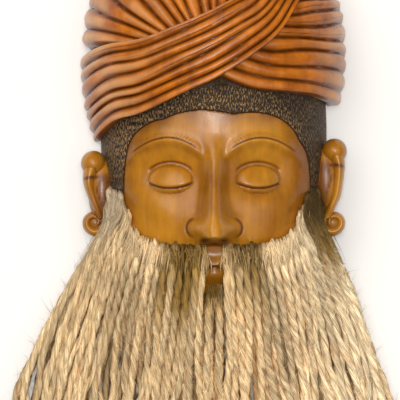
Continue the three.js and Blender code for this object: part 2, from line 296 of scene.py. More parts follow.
def stretch(tree, value, low, high, to_low=0.0, to_high=1.0):
    """The value mapped from one range to another and held at its ends."""
    limits = {"From_Min": low, "From_Max": high, "To_Min": to_low, "To_Max": to_high}
    return put(tree, "ShaderNodeMapRange", None, Value=value, **limits).outputs["Result"]


def noise(tree, vector, scale, detail=3.0, roughness=0.55):
    """Cloudy noise. scale is one number, or three for streaks."""
    if isinstance(scale, tuple):
        vector = put(tree, "ShaderNodeMapping", None, Vector=vector, Scale=scale).outputs[0]
        scale = 1.0
    sockets = {"Vector": vector, "Scale": scale, "Detail": detail, "Roughness": roughness}
    return put(tree, "ShaderNodeTexNoise", None, **sockets).outputs["Fac"]


def read(tree, name, output="Fac"):
    """A value that the mesh holds at each point."""
    return put(tree, "ShaderNodeAttribute", {"attribute_name": name}).outputs[output]


def tilted(tree, height, strength, distance, **under):
    """A normal tilted by the height, on top of another normal where one is given."""
    sockets = {"Strength": strength, "Distance": distance, "Height": height, **under}
    return put(tree, "ShaderNodeBump", None, **sockets).outputs[0]


def wood_material(finish):
    """Stained, lacquered wood: mottled stain, grain along the head, dark cuts, worn crests with painted
    sheen, black hair.
    """
    material, tree, surface = shader("carved_lacquered_wood")
    surface.inputs["Specular IOR Level"].default_value = 0.38
    place = put(tree, "ShaderNodeTexCoord").outputs["Object"]
    mottle = noise(tree, place, 22.0, 4.0)
    blotch = noise(tree, place, 70.0)
    grain = noise(tree, place, (260.0, 16.0, 260.0), 4.0, 0.6)
    groove = read(tree, "groove")
    lie = read(tree, "lie", "Vector")
    inside = put(tree, "ShaderNodeSeparateXYZ", None, Vector=lie).outputs["Z"]
    hair = stretch(tree, inside, -0.2, 0.3)
    hairline_cut = stretch(tree, maths(tree, "ABSOLUTE", inside), 0.25, 0.65, 1.0, 0.0)
    tuft = stretch(tree, noise(tree, lie, (1.15, 0.42, 0.0), 2.0, 0.6), 0.47, 0.585)
    rubbed = maths(tree, "MULTIPLY", tuft, stretch(tree, mottle, 0.36, 0.6, 0.3, 1.0))

    skin = blend_colour(tree, stretch(tree, mottle, 0.32, 0.62), finish.face_dark, finish.face_light)
    patchy = stretch(tree, blotch, 0.3, 0.6, 0.25, 0.75)
    border = maths(tree, "MULTIPLY", stretch(tree, inside, -11.0, -1.0), patchy)
    skin = blend_colour(tree, border, skin, finish.valley_colour)
    cloth = blend_colour(tree, stretch(tree, blotch, 0.35, 0.68), finish.turban_dark, finish.turban_light)
    base = blend_colour(tree, read(tree, "turban"), skin, cloth)
    base = shaded(tree, base, stretch(tree, grain, 0.3, 0.7, 0.84, 1.1))
    # Worn crests, and painted sheen: the tan on the crests at the turban's sides stands for the reflection of
    # the bright room at a grazing angle
    base = blend_colour(tree, read(tree, "worn"), base, finish.worn_and_sheen_colour)
    base = blend_colour(tree, stretch(tree, groove, 0.0, 0.55, 0.0, 0.85), base, finish.valley_colour)
    base = blend_colour(tree, stretch(tree, groove, 0.5, 1.0, 0.0, 0.9), base, finish.recess_colour)
    base = blend_colour(tree, hair, base, blend_colour(tree, rubbed, finish.hair_dark, finish.hair_light))
    base = blend_colour(tree, hairline_cut, base, finish.recess_colour)
    tree.links.new(base, surface.inputs["Base Color"])

    gloss = stretch(tree, blotch, 0.3, 0.7, finish.roughness - 0.04, finish.roughness + 0.07)
    rough = put(tree, "ShaderNodeMix", None, _0=hair, _2=gloss, _3=0.7)
    tree.links.new(rough.outputs[0], surface.inputs["Roughness"])
    fine = tilted(tree, maths(tree, "ADD", grain, noise(tree, place, 900.0)), 0.1, 0.0006)
    carved = tilted(tree, maths(tree, "MULTIPLY", tuft, hair), 0.8, finish.hair_depth, Normal=fine)
    tree.links.new(carved, surface.inputs["Normal"])
    return material


def twine_material(twine):
    """Jute: streaks that run with the fibres, dull fibres among the straw and shade between the plies."""
    material, tree, surface = shader("twisted_jute", 0.9)
    surface.inputs["Specular IOR Level"].default_value = 0.15
    yarn = read(tree, "yarn", "Vector")
    fibres = noise(tree, yarn, (2.6, 2.6, 90.0), 4.0, 0.7)
    patches = noise(tree, yarn, (1.0, 1.0, 60.0), 2.0)
    hairs = noise(tree, yarn, (6.0, 6.0, 120.0), 2.0)
    coarse = stretch(tree, fibres, 0.3, 0.7, 0.55, 1.35)
    light = maths(tree, "MULTIPLY", coarse, stretch(tree, hairs, 0.32, 0.68, 0.55, 1.45))
    base = shaded(tree, read(tree, "tint", "Color"), light)
    dull = stretch(tree, patches, 0.45, 0.7, 0.0, 0.8)
    base = blend_colour(tree, dull, base, twine.dull_colour, "MULTIPLY")
    between_plies = stretch(tree, read(tree, "groove"), 0.4, 1.0, 0.0, 0.38)
    base = blend_colour(tree, between_plies, base, twine.shade_colour)
    tree.links.new(base, surface.inputs["Base Color"])
    tree.links.new(tilted(tree, fibres, 0.75, 0.0007), surface.inputs["Normal"])
    return material


def jute(twine):
    """The twine's material, made once."""
    return bpy.data.materials.get("twisted_jute") or twine_material(twine)


def floor_material(studio):
    """A matt floor with a little light of its own."""
    material, _, surface = shader("pale_floor", 0.9)
    for socket in ("Base Color", "Emission Color"):
        surface.inputs[socket].default_value = (*studio.floor_colour, 1)
    surface.inputs["Emission Strength"].default_value = studio.floor_glow
    return material


# ---------------------------------------------------------------- head and face

def head_width(y):
    """Half the head's width at level y: an oval about the widest level."""
    return HALF_WIDTH * np.sqrt(1 - np.minimum(1, np.abs((y - WIDEST_Y) / (WIDEST_Y - CHIN_Y)) ** 2.2))


def head_depth(y):
    """The head's depth at level y, nearly even down to a blunt chin."""
    return FACE_DEPTH * np.cbrt(1 - np.minimum(1, np.abs((y - WIDEST_Y) / (WIDEST_Y - CHIN_Y)) ** 5))


def groove_along(distance, width):
    """A rounded cut, exp(-(distance / width)^2): 1 on the line and about a third at width from it."""
    return np.exp(-((distance / width) ** 2))


def brow_relief(x, y):
    """A raised arch over each eye, steeper below, with an engraved line and slanted strokes over it."""
    side = np.abs(x)
    arch = BROW_Y + 8 - 9 * ((side - 30) / 22) ** 2
    along = within(4, 12, 50, 60, side)
    off = y - arch
    ridge = 2.6 * along * np.exp(-((off / np.where(off > 0, 5.0, 3.0)) ** 2))
    line = groove_along(off - 1.6, 0.55) * within(9, 13, 50, 54, side)
    strokes = groove_along(np.sin((side - 0.45 * off) * 2 * math.pi / 2.6), 0.45)
    strokes = strokes * within(1.8, 2.6, 5.0, 6.2, off) * within(11, 15, 47, 52, side)
    return ridge - 0.7 * line - 0.35 * strokes, np.maximum(line, 0.45 * strokes)


def eye_relief(x, y):
    """A socket, a domed upper lid with its crease, and a closed eye line that sags in the middle."""
    dx = (np.abs(x) - EYE_X) / EYE_HALF
    dy = (y - EYE_Y) / 9.0
    socket = -7.5 * bump(np.abs(x) - EYE_X, y - EYE_Y - 4, 21, 13)
    inside = np.maximum(0, 1 - dx * dx - dy * dy)
    lid = 8.0 * np.sqrt(inside)
    lash = EYE_Y - 2.2 - 3.4 * (1 - dx * dx)
    across = 1 - smooth(0.9, 1.06, np.abs(dx))
    lower = -1.5 * smooth(0.2, -0.6, y - lash) * across * smooth(0.0, 0.15, inside)
    slit = groove_along(y - lash, 0.75) * across
    radius = np.sqrt(dx * dx + ((y - EYE_Y) / 9.6) ** 2)
    crease = groove_along((radius - 1.16) * 10, 0.8) * smooth(-0.1, 0.35, dy) * across
    return socket + lid + lower - 1.5 * slit - 0.9 * crease, np.maximum(slit, 0.7 * crease)


def nose_relief(x, y):
    """A straight bridge that widens and rises to a rounded tip, with wings and nostrils."""
    side = np.abs(x)
    down = np.clip((BROW_Y - y) / THIRD, 0, 1)
    under = 1 - smooth(-2, 4, NOSE_Y - y - 0.06 * side ** 1.6)
    height = mix(5, 23, down ** 1.3) * under * smooth(-8, 12, BROW_Y + 6 - y)
    half = mix(5.5, 9, down ** 2)
    wings = 9 * bump(side - 10.5, y - NOSE_Y - 7, 5.5, 6)
    wing_edge = np.hypot(side - 11.5, y - NOSE_Y - 7) - 6.3
    cut = groove_along(wing_edge, 0.9) * smooth(11, 15, side) * smooth(-8, -2, y - NOSE_Y - 6)
    nostril = bump(side - 6.2, y - NOSE_Y + 0.6, 3.1, 1.7)
    shape = height * np.exp(-((side / half) ** 2.4)) + wings
    return shape - 1.2 * cut - 3.0 * nostril, np.maximum(0.8 * cut, nostril)


def mouth_relief(x, y):
    """Two full lips with the mouth line a third of the way down to the chin, and a round chin."""
    line = NOSE_Y - THIRD / 3
    bow = 0.9 * np.exp(-((x / 4.0) ** 2)) - 1.2 * (x / 18.0) ** 2
    upper = 3.6 * bump(x, y - line - 3.6 + bow, 15, 3.4)
    lower = 4.0 * bump(x, y - line + 4.6, 13, 4.0)
    slit = groove_along(y - line + 0.004 * x * x, 0.9) * (1 - smooth(17, 21, np.abs(x)))
    chin = 3 * bump(x, y - CHIN_Y - 16, 14, 9)
    return upper + lower + chin - 1.8 * slit, slit


def face_relief(x, y):
    """All the relief of the face, and how dark each cut is."""
    cheek = 2.5 * bump(np.abs(x) - 38, y + 12, 17, 18)
    parts = [brow_relief(x, y), eye_relief(x, y), nose_relief(x, y), mouth_relief(x, y)]
    return cheek + sum(p[0] for p in parts), np.maximum.reduce([p[1] for p in parts])


def hairline(x, y):
    """Distance outside the hairline: an oval round the forehead with about three shallow scallops."""
    turn = np.arctan2(y, x - 2)
    oval = (np.abs(np.cos(turn) / 60.5) ** 3.2 + np.abs(np.sin(turn) / 56) ** 3.2) ** (-1 / 3.2)
    above_ears = smooth(0.3, 0.6, turn) * smooth(0.3, 0.6, math.pi - turn)
    scallops = (2.6 * np.abs(np.sin(4.1 * turn + 0.6)) - 1.5) * above_ears
    return np.hypot(x - 2, y) - oval - scallops


def wood_object(name, rings, groove=0.0, turban=0.0, worn=0.0, lie=(0.0, 0.0, -10.0)):
    """A closed solid through rings, with the values that the wood's finish reads at each point. lie holds the
    way round the head, the level and how far inside the hair the point is, in millimetres."""
    count = rings.shape[0] * rings.shape[1]
    values = {"groove": groove, "turban": turban, "worn": worn}
    values = {key: np.broadcast_to(np.ravel(value), count) for key, value in values.items()}
    values["lie"] = np.broadcast_to(np.reshape(lie, (-1, 3)), (count, 3))
    points = in_frame(rings)
    return mesh_object(name, points, outward(points, loft_faces(*rings.shape[:2])), values)


# Levels of the head from the chin up, close together where the features are: from, to and how many
LEVELS = [(-79.8, -73, 6), (-71, -34, 22), (-32.5, 13.5, 74), (14, 62, 96), (63, 80, 18), (84, HEAD_TOP_Y, 4)]
ACROSS = 271


def head_surface():
    """An arch over each level of the head. Relief moves its front along z, and hair stands proud of skin."""
    levels = np.concatenate([np.linspace(*part) for part in LEVELS])
    across = np.linspace(-1, 1, ACROSS)
    angle = RIM * (1 + np.sign(across) * np.abs(across) ** 1.12)
    y = np.repeat(levels[:, None], ACROSS, 1)
    width, depth = head_width(levels)[:, None], head_depth(levels)[:, None]
    x = -width * np.cos(angle)
    z = depth * np.sin(angle).clip(0) ** 0.7
    steps = np.hypot(np.diff(x, axis=1, prepend=x[:, :1]), np.diff(z, axis=1, prepend=z[:, :1]))
    girth = np.cumsum(steps, 1)
    girth = girth - girth[:, ACROSS // 2][:, None]

    raised, cut = face_relief(x, y)
    front = smooth(12, 40, z)
    hollow = np.clip((blurred(raised, 60) - raised) / 4.5, 0, 1)
    outside = np.minimum(hairline(x, y), y - HAIR_END_Y)
    hair = smooth(-0.35, 0.35, outside)
    edge = groove_along(outside, 0.55)
    marks = 0.25 * (speckle(girth / 7, y / 9, 0, 5) - 0.5)
    grown = hair * (0.9 + 0.3 * speckle(girth / 1.6, y / 3.2, 0, 1))
    forward = np.where(z > 12, grown * smooth(12, 30, z), 0)
    z = z + front * (raised * (1 - hair) - 0.6 * edge + marks) + forward
    x = x + np.sign(x) * grown * (1 - smooth(12, 30, z)) * smooth(0, 8, z)

    def with_back(values, fill):
        return np.concatenate([values, np.full((len(levels), 2), fill)], 1)

    xs = np.concatenate([x, width, -width], 1)
    ys = np.concatenate([y, y[:, :2]], 1)
    rings = np.stack([xs, ys, with_back(z, -BELOW)], -1)
    groove = np.maximum(cut * 0.9, 0.8 * hollow * front) * (1 - hair)
    lie = np.stack([with_back(girth, 0), ys, with_back(outside, -10)], -1)
    return wood_object("head", rings, with_back(groove, 0), lie=lie)


# ---------------------------------------------------------------- turban

def reach(dome, x, y):
    """How far a plan point lies from the dome's middle, as a share of the way to its superellipse outline."""
    r = np.maximum(np.hypot(x, y - dome["y"]), 1e-9)
    down = mix(dome["left"], dome["right"], (x / r + 1) / 2)
    tall = np.where(y > dome["y"], dome["up"], down)
    n = dome["power"]
    return (np.abs(x / dome["half"]) ** n + np.abs((y - dome["y"]) / tall) ** n) ** (1 / n)


def lifted(dome, x, y, lift):
    """Plan points on the dome, moved out along its normal. Distance in the plan is the angle from the middle,
    so the front view shrinks by sin(angle) / angle, and the height is depth * cos(angle)^0.75."""
    angle = np.maximum(1e-6, reach(dome, x, y))
    shrink = np.sin(np.minimum(angle, RIM)) / angle
    rise = dome["depth"] * np.cos(np.minimum(angle, RIM)).clip(0) ** 0.75
    z = np.where(angle < RIM, rise, (RIM - angle) * 60)
    px, py = x * shrink, dome["y"] + (y - dome["y"]) * shrink
    ahead = np.maximum(0, z) / dome["depth"]
    normal = np.stack([px / dome["half"], (py - dome["y"]) / dome["up"], ahead], -1)
    return np.stack([px, py, z], -1) + unit(normal) * np.asarray(lift)[..., None]


def in_plan(dome, points):
    """Front-view points moved to the dome's plan. A point outside its outline lies past the rim."""
    points = np.asarray(points, float)
    r = reach(dome, points[:, 0], points[:, 1])
    angle = np.where(r < 1, np.arcsin(np.minimum(r, 1)), RIM + (r - 1))
    scale = (angle / r)[:, None]
    return np.stack([points[:, 0], points[:, 1] - dome["y"]], -1) * scale + [0, dome["y"]]


DOME_ANGLES = (1.75, 1.6, 1.57, 1.5, 1.4, 1.25, 1.1, 0.9, 0.7, 0.5, 0.3, 0.1)


def dome_object(name, dome, grow, inside_hair=-10):
    """Rings round the dome from past its rim to near its middle."""
    turn = full_turn(96)
    x, y = np.cos(turn), np.sin(turn)
    scale = np.array(DOME_ANGLES)[:, None] / reach(dome, x, dome["y"] + y)
    rings = lifted(dome, x * scale, dome["y"] + y * scale, np.full(scale.shape, grow))
    lie = np.stack([rings[..., 0], rings[..., 1], np.full(scale.shape, inside_hair)], -1)
    return wood_object(name, rings, lie=lie)


# Front view of the band's edges, the side's edges and the gather that the crown's folds spread from
BAND_LOW = in_plan(TURBAN, [[-86, 29], [-75, 39], [-62, 50], [-43, 56], [-19, 67], [3, 77],
                            [23, 90], [40, 105], [56, 130], [73, 152], [86, 166]])
BAND_HIGH = in_plan(TURBAN, [[-96, 92], [-82, 97], [-66, 101], [-45, 103], [-26, 109], [-7, 117],
                             [9, 125], [21, 132], [33, 148], [42, 168], [48, 190]])
SIDE_LOW = in_plan(TURBAN, [[-8, 84], [8, 75], [25, 69], [46, 67], [64, 66], [74, 64], [82, 60]])
SIDE_HIGH = in_plan(TURBAN, [[46, 138], [52, 142], [58, 145], [64, 148], [69, 150], [74, 152], [79, 154]])
GATHER = in_plan(TURBAN, [[-40, 97], [24, 122]])


def between(low, high):
    """Cloth that runs between two curves: s along them and v from one to the other."""
    def edges(s, v):
        a, b = through(low, s), through(high, s)
        return mix(a[..., 0], b[..., 0], v), mix(a[..., 1], b[..., 1], v)
    return edges


def side_edges(s, v):
    """The side's folds, carried past the rim at their far end, because the rim bulges between its corners."""
    x, y = between(SIDE_LOW, SIDE_HIGH)(s, v)
    push = mix(1, np.maximum(1, (RIM + 0.1) / reach(TURBAN, x, y)), smooth(0.6, 1, s))
    return x * push, TURBAN["y"] + (y - TURBAN["y"]) * push


def crown_edges(s, v):
    """Folds spread like a fan from the gather under the band to the rim."""
    turn = mix(3.08, 0.78, v)
    x, y = np.cos(turn), np.sin(turn)
    scale = (RIM + 0.1) / reach(TURBAN, x, TURBAN["y"] + y)
    start = mix(GATHER[0], GATHER[1], v[..., None])
    return mix(start[..., 0], x * scale, s), mix(start[..., 1], TURBAN["y"] + y * scale, s)


def wrap_object(name, edges, finish, folds, lift, depth, along, thick, seed, start=1.0):
    """Wound cloth over a slab: rounded folds along s, each |sin|^0.65 across, of uneven width and depth."""
    s, v = np.meshgrid(np.linspace(0, 1, along), np.linspace(0, 1, folds * 14 + 1), indexing="ij")
    x, y = edges(s, v)
    pinned = np.sin(math.pi * v)
    drift = 0.13 * np.sin(2 * math.pi * (1.4 * s + 0.31 * folds * v + seed)) * pinned
    place = folds * v + drift + 0.22 * (speckle(3.2 * s, v * folds * 0.7, 0, seed) - 0.5) * pinned
    wave = np.abs(np.sin(math.pi * place))
    swell = wave ** 0.65
    crease = 0.8 + 0.5 * speckle(4 * s, np.round(place), 0, seed + 3)
    tuck = smooth(0, 0.35 / folds, v) * smooth(0, 0.35 / folds, 1 - v)
    fold = np.floor(place)
    thin = groove_along(place - fold - 0.34, 0.035) * smooth(0.55, 0.75, speckle(2.2 * s, fold, 0, seed + 8))
    marks = 0.5 * (speckle(place * 1.7, s * 30, 0, seed + 5) - 0.5)
    marks = marks + 0.25 * (speckle(place * 4, s * 60, 0, seed + 6) - 0.5)
    rise = lift * mix(start, 1, smooth(0, 0.3, s)) * mix(1, 0.55, smooth(0.65, 1, s))
    height = rise + depth * finish.fold_depth * (swell - 1) * crease - 0.5 * thin + marks * wave
    upper = lifted(TURBAN, x, y, mix(-4, height, tuck))
    lower = lifted(TURBAN, x, y, np.full(x.shape, -thick))
    rings = np.concatenate([upper, lower[:, ::-1]], 1)
    uneven = mix(0.75, 1, speckle(6 * s, place, 0, seed + 4))
    groove = np.maximum(smooth(0.85, 0.0, wave) ** 1.5, 0.7 * thin) * uneven
    # Worn crests: a little wear on every crest, and painted sheen that lightens the crests at the far left
    # and right, for the reflection of the bright room at a grazing angle
    sides = np.maximum(smooth(-20, -80, upper[..., 0]), 0.8 * smooth(62, 84, upper[..., 0]))
    worn = smooth(0.6, 1, swell) * (0.12 + 0.7 * sides) * smooth(0.2, 0.6, speckle(s * 8, place, 0, seed + 7))

    def with_back(values):
        return np.concatenate([values, np.zeros_like(values)], 1)

    return wood_object(name, rings, with_back(0.92 * groove), 1.0, with_back(worn))


# ---------------------------------------------------------------- ears

EAR_HEIGHT = 31
LOBE = (77.7, -15)
KNOB = {"x": 79, "radii": (8.3, 8.3, 12)}
EAR_ROOT = {"x": 73.5, "drop": 18, "radii": (9, 22, 9.5)}
UPWARDS = [0.0, 1.0]


def oval_rings(middles, along, half, deep, count=28):
    """Oval rings round a line in the xy plane: half wide across the line and deep along z."""
    turn = full_turn(count)
    side = unit(np.stack([along[:, 1], -along[:, 0], np.zeros(len(along))], -1))
    ring = middles[:, None] + side[:, None] * (np.asarray(half)[:, None] * np.cos(turn))[..., None]
    ring[..., 2] += np.asarray(deep)[:, None] * np.sin(turn)
    return ring


def ear_cuts(rings, side, knob_y):
    """Depth of colour in the ear's cuts: a bowed line down its shell, and the crease under the knob."""
    x, y = side * rings[..., 0], rings[..., 1]
    bow = x - (72.5 + 3.4 * np.exp(-(((y - knob_y + 18) / 8) ** 2)))
    line = groove_along(bow, 0.8) * within(knob_y - 34, knob_y - 29, knob_y - 11, knob_y - 8, y)
    crease = groove_along(y - knob_y + 9.2 + 0.035 * (x - KNOB["x"]) ** 2, 1.0)
    hollow = 0.55 * smooth(78, 73, x) * within(knob_y - 44, knob_y - 34, knob_y - 9, knob_y - 4, y)
    return np.maximum(np.maximum(0.9 * line, 0.9 * crease), hollow)


def oval_object(name, centre, radii, cuts):
    """An egg: rings along y whose size follows sin."""
    turn = np.linspace(0, math.pi, 39)[1:-1]
    middles = np.array(centre) - np.stack([0 * turn, radii[1] * np.cos(turn), 0 * turn], -1)
    upwards = np.tile(UPWARDS, (len(turn), 1))
    rings = oval_rings(middles, upwards, radii[0] * np.sin(turn), radii[2] * np.sin(turn), 40)
    return wood_object(name, rings, cuts(rings))


def lobe_object(name, side, centre):
    """A tapering roll that winds a little over one and a quarter turns round the centre."""
    t = np.linspace(0, 1, 90)
    turn = mix(1.2, -6.8, t)
    radius = mix(5.8, 1.7, smooth(0.55, 1, t))
    x = side * (centre[0] - radius * np.cos(turn))
    middles = np.stack([x, centre[1] + radius * np.sin(turn), 0 * t + centre[2]], -1)
    along = np.stack([side * np.sin(turn), np.cos(turn)], -1)
    rings = oval_rings(middles, along, mix(3.5, 2.6, t), mix(8, 9, t))
    inner = np.broadcast_to((0.35 * smooth(0.5, 1, t))[:, None], rings.shape[:2])
    return wood_object(name, rings, inner)


def ear_objects(label, side, knob_y):
    """A round knob, a blade that narrows downwards, a rolled lobe and the root that joins them on."""
    def cuts(rings):
        return ear_cuts(rings, side, knob_y)

    knob = oval_object(label + "_knob", (side * KNOB["x"], knob_y, EAR_HEIGHT), KNOB["radii"], cuts)
    # Along the blade: x, y, half width and half depth
    shape = [[80, knob_y - 3, 5.6, 12], [81.8, knob_y - 12, 4, 12], [80, 4, 3.6, 11],
             [76.5, -5, 3.4, 10], [74, -12, 3, 8]]
    x, y, half, deep = through(shape, np.linspace(0, 1, 48)).T
    middles = np.stack([side * x, y, 0 * x + EAR_HEIGHT], -1)
    rings = oval_rings(middles, np.tile(UPWARDS, (len(x), 1)), half, deep, 40)
    blade = wood_object(label + "_blade", rings, cuts(rings))
    middle = (side * EAR_ROOT["x"], knob_y - EAR_ROOT["drop"], EAR_HEIGHT)
    root = oval_object(label + "_root", middle, EAR_ROOT["radii"], cuts)
    disc = oval_object(label + "_disc", (side * LOBE[0], LOBE[1], 26), (7, 7, 8),
                       lambda rings: np.full(rings.shape[:2], 0.3))
    return [knob, blade, root, disc, lobe_object(label + "_lobe", side, (*LOBE, 27))]


# ---------------------------------------------------------------- twine

def wood_height(x, y):
    """The face without its relief, seen as a height over the floor."""
    share = np.abs(x / np.maximum(1, head_width(y)))
    return head_depth(y) * np.maximum(0, 1 - share ** 2) ** 0.35


def rest_height(x, y):
    """The surface that the beard lies on: the face, then a free fall past the jaw to the floor."""
    spread = (np.abs(x / HALF_WIDTH) ** 2.2 + np.abs((WIDEST_Y - y) / FALL_REACH) ** 2.2) ** (1 / 2.2)
    fall = FALL_HEIGHT * smooth(0, 0.85, 1.35 - spread)
    wood = wood_height(x, y)
    return np.maximum(np.where(wood > 0, wood + 1, 0), fall)


def strand_plan(place, t, drop):
    """Front view of a strand: from the root line it fans out to the beard's end and sways a little."""
    root_side, root_y = through(ROOT_LINE, min(1, abs(place)))
    root_x = np.sign(place) * root_side
    end_x = (END_LEFT if place < 0 else END_RIGHT) * math.sin(FAN * place) / math.sin(FAN)
    end_y = END_Y + 22 * place * place + drop
    late = 0.125 * place ** 4
    flare = 1 - (1 - np.clip((t - late) / (1 - late), 0, 1)) ** (1.2 + 0.7 * abs(place))
    wave = np.sin(2 * math.pi * (2.6 * place + 0.5 * t)) + 0.5 * np.sin(2 * math.pi * (7.3 * place + 1.3 * t))
    return mix(root_x, end_x, flare) + SWAY * smooth(0.1, 0.7, t) * wave, mix(root_y, end_y, t)


def climb(place, t):
    """Share of its full height that a strand has reached. The outer ones climb more slowly."""
    return smooth(-0.01, 0.12 + 0.14 * place ** 4, t)


def top_height(place, t):
    """Height of a top strand's middle over the surface that the beard lies on."""
    return TWINE / 2 + 0.9 + (UNDER_DEPTH + 2) * climb(place, t)


def top_route(place, drop, t):
    """A strand of the top layer, as the frame has it, with a short bend up out of the wood before it."""
    x, y = strand_plan(place, t, drop)
    route = np.stack([x, y, rest_height(x, y) + top_height(place, t)], -1)
    back, height = np.array([[4.6, -2.6], [3.3, -0.6], [2.1, 1.2], [1.0, 2.7]]).T
    bend = np.stack([0 * back + x[0], y[0] + back, rest_height(x[0], y[0] + back) + height], -1)
    return np.concatenate([bend, route])


def loose_route(place, drop, t, level, start, wander, chance):
    """A strand of any layer, bunched with its neighbours lower down, which also wanders on its own. start is
    where along the plan its root lies."""
    at = mix(start, 1, t)
    reach_out = smooth(0.05, 0.8, t)
    wide, narrow = math.sin(2 * math.pi * 7.3 * place + 1), math.sin(2 * math.pi * 11.7 * place + 2.2)
    bunch = 0.011 * (wide + 0.8 * narrow)
    x, y = strand_plan(place, at, drop)
    x = x + (END_LEFT * bunch) * reach_out * min(1, wander / 2.5)
    phase = chance.uniform(0, 2 * math.pi, 4)
    stray = np.sin(2 * math.pi * 0.8 * t + phase[0]) + 0.55 * np.sin(2 * math.pi * 2.1 * t + phase[1])
    x = x + wander * reach_out * (stray + 0.25 * np.sin(2 * math.pi * 5.3 * t + phase[3]))
    lift = (0.6 * np.sin(phase[1] + phase[2]) + 1.7 * np.sin(2 * math.pi * 1.3 * t + phase[2])) * reach_out
    height = -2.0 + (level + 2.0) * climb(place, t) + 1.6 * smooth(0, 0.02, t) + lift
    z = np.maximum(rest_height(x, y) + height, 0.62 * TWINE * smooth(0, 0.1, t))
    return np.stack([x, y, z], -1)


def run_along(route):
    """Distance from the start at each point of a route."""
    return np.concatenate([[0], np.cumsum(np.linalg.norm(np.diff(route, axis=0), axis=1))])


def even_steps(route, steps):
    """The same route in that many even steps, and the distance run at each point."""
    run = run_along(route)
    places = np.linspace(0, run[-1], steps + 1)
    return np.stack([np.interp(places, run, route[:, k]) for k in range(3)], -1), places


def crossways(points):
    """Two directions across a route at each point, square to it and to each other."""
    ahead = unit(np.gradient(points, axis=0))
    side = unit(np.array([1.0, 0, 0]) - ahead * ahead[:, :1])
    return side, np.cross(side, ahead)


FINE_SIDES = 12
COARSE_SIDES = 8
SPAN = 17.0  # length of strand in which there are as many rings as a ring has points


def twisted(route, radius, pitch, turn, count, chance):
    """Two round plies wound round each other. The outline is c |cos a| + sqrt(p^2 - c^2 sin^2 a), with c the
    plies' offset and p their radius, and it turns once in each pitch along the route."""
    points, run = even_steps(route, max(6, int(run_along(route)[-1] / (SPAN / count))))
    side, up = crossways(points)
    a = full_turn(count)
    offset, ply = 0.25, 0.75
    outline = offset * np.abs(np.cos(a)) + np.sqrt(ply ** 2 - (offset * np.sin(a)) ** 2)
    rough = 1 + 0.14 * (chance.random((len(points), count)) - 0.5)
    swell = 1 + 0.09 * np.sin(run / 9 + turn)[:, None] + 0.05 * np.sin(run / 3.7 + 2 * turn)[:, None]
    fray = (1 - 0.7 * smooth(run[-1] - 2.5, run[-1], run)) * mix(0.4, 1, smooth(0, 6, run))
    r = radius * outline[None] * rough * swell * fray[:, None]
    wind = run + 2.2 * np.sin(run / 17 + 3 * turn)
    rings = ringed(points, side, up, a[None] + (turn + 2 * math.pi * wind / pitch)[:, None], r)
    groove = np.broadcast_to((1 - outline) / (1 - outline.min()), r.shape)
    fibre = a[None] + (2 * math.pi * wind / pitch * 0.4)[:, None]
    yarn = np.stack([np.cos(fibre), np.sin(fibre), np.broadcast_to((run * MM + turn)[:, None], r.shape)], -1)
    return points, run, rings, groove, yarn


# Where the twine is stained, as places along the root line: middle and half width beside the mouth, and where
# the stain starts and is full at each temple
LEFT_LIP = (-0.2, 0.13)
RIGHT_LIP = (0.2, 0.11)
RIGHT_TEMPLE = (0.7, 0.8)
LEFT_TEMPLE = (0.76, 0.84)


def near(place, middle, half):
    """exp(-((place - middle) / half)^4): 1 about the middle and about a third at half away from it."""
    return float(np.exp(-((place - middle) / half) ** 4))


def strand_tint(place, run, shade, twine, chance):
    """Colour along a strand: straw, lighter towards the right, with painted light on the middle strands, and
    olive and dark stain near the root in places.
    """
    straw = mix(np.array(twine.straw_colour), np.array(twine.cream_colour), 0.6 * smooth(0.1, 0.9, place))
    # Lighter towards the right; the strands near the middle get painted light that brightens them
    straw = straw * shade * (1 + 0.14 * place + 0.24 * smooth(0.65, 0.15, abs(place)))
    gold, dark = np.array(twine.stain_gold), np.array(twine.stain_dark)
    pale = np.array(twine.pale_colour) * shade
    left_lip = near(place, *LEFT_LIP) * chance.uniform(0.65, 1.3)
    right_lip = near(place, *RIGHT_LIP) * chance.uniform(0.6, 1.2)
    right_temple = float(smooth(*RIGHT_TEMPLE, place))
    left_temple = float(smooth(*LEFT_TEMPLE, -place))
    olive = left_lip * smooth(95 * chance.uniform(0.5, 1.1), 15, run) + 0.9 * right_lip * smooth(75, 12, run)
    olive = olive + right_temple * smooth(80, 30, run)
    olive = olive + float(np.exp(-(place / 0.07) ** 2)) * smooth(30, 6, run)
    black = 0.55 * left_lip * smooth(38, 4, run) + 0.7 * right_lip * smooth(40, 4, run)
    black = black + 0.95 * right_temple * smooth(52, 16, run)
    colour = mix(straw, gold, np.clip(olive, 0, 0.9)[:, None])
    colour = mix(colour, dark, np.clip(black, 0, 0.92)[:, None])
    return mix(colour, pale, (left_temple * smooth(60, 15, run))[:, None])


def thin_strand(route, radius, turn):
    """A few fibres together: a plain round taper along the route, with five sides."""
    points, run = even_steps(route, 10)
    side, up = crossways(points)
    a = full_turn(5) + turn
    rings = ringed(points, side, up, a, radius * (1 - 0.75 * smooth(0.5, 1, run / run[-1]))[:, None])
    yarn = np.stack(np.broadcast_arrays(np.cos(a)[None], np.sin(a)[None], (run * MM + turn)[:, None]), -1)
    return points, run, rings, np.zeros(rings.shape[:2]), yarn


# Painted shade for the deeper layers of strands: a deeper layer is darkened, and loses green and blue faster
# than red
PAINTED_SHADE_POWERS = np.array([1, 1.2, 1.5])


